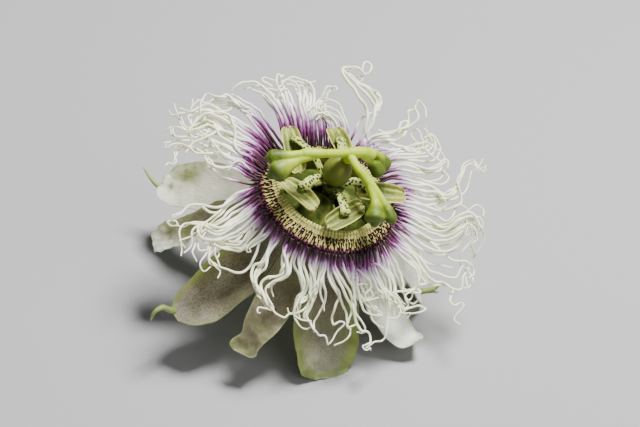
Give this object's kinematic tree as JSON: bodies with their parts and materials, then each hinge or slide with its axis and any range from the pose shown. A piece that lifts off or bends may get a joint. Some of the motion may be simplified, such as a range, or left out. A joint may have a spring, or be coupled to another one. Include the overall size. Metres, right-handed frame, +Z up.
{
  "type": "passion flower",
  "caption": "Open passion flower picked with a short stalk, resting on its bent-back sepals and petals, with a fringed corona, stamens and styles.",
  "frame": {"origin": "on the surface that the flower rests on, under the middle of its bounding box", "axes": "+Z up from the surface; the flower's own axis leans 20 degrees from +Z, towards +X and a little -Y, and its front is seen from -Y"},
  "size_m": [0.0812, 0.0624, 0.0513],
  "materials": {
    "stalk": "soft green stalk and bracts, slightly waxy",
    "cup": "smooth dark green flower cup, satin",
    "comb": "cream ridged comb with maroon-black peg tips, satin",
    "membrane": "thin green membrane, satin",
    "column": "green column, satin",
    "filament": "pale green, speckled dark purple, satin",
    "anther": "ridged green with pale yellow edges, matte",
    "ovary": "olive green with a fine bloom, matte",
    "style": "fleshy yellow-green, waxy",
    "sepal": "white and thin with fine purple-brown mottling, green margins and green outside, satin",
    "petal": "white, thin and slightly translucent, satin",
    "corona": "near-black purple at the foot, violet, then cream white to the tip, satin"
  },
  "bodies": {
    "root": {"pedicel": "stalk", "bract_1": "stalk", "bract_2": "stalk", "bract_3": "stalk", "hypanthium": "cup", "inner_corona": "comb", "operculum": "membrane", "limen": "membrane", "androgynophore": "column", "ovary": "ovary", "sepal_1": "sepal", "sepal_2": "sepal", "sepal_3": "sepal", "sepal_4": "sepal", "sepal_5": "sepal", "petal_1": "petal", "petal_2": "petal", "petal_3": "petal", "petal_4": "petal", "petal_5": "petal", "stamen_filament_1": "filament", "stamen_filament_2": "filament", "stamen_filament_3": "filament", "stamen_filament_4": "filament", "stamen_filament_5": "filament", "anther_1": "anther", "anther_2": "anther", "anther_3": "anther", "anther_4": "anther", "anther_5": "anther", "style_1": "style", "style_2": "style", "style_3": "style", "corona_lock_01": "corona", "corona_lock_02": "corona", "corona_lock_03": "corona", "corona_lock_04": "corona", "corona_lock_05": "corona", "corona_lock_06": "corona", "corona_lock_07": "corona", "corona_lock_08": "corona", "corona_lock_09": "corona", "corona_lock_10": "corona", "corona_lock_11": "corona", "corona_lock_12": "corona", "corona_lock_13": "corona", "corona_lock_14": "corona", "corona_lock_15": "corona", "corona_lock_16": "corona", "corona_lock_17": "corona"}
  },
  "joints": []
}
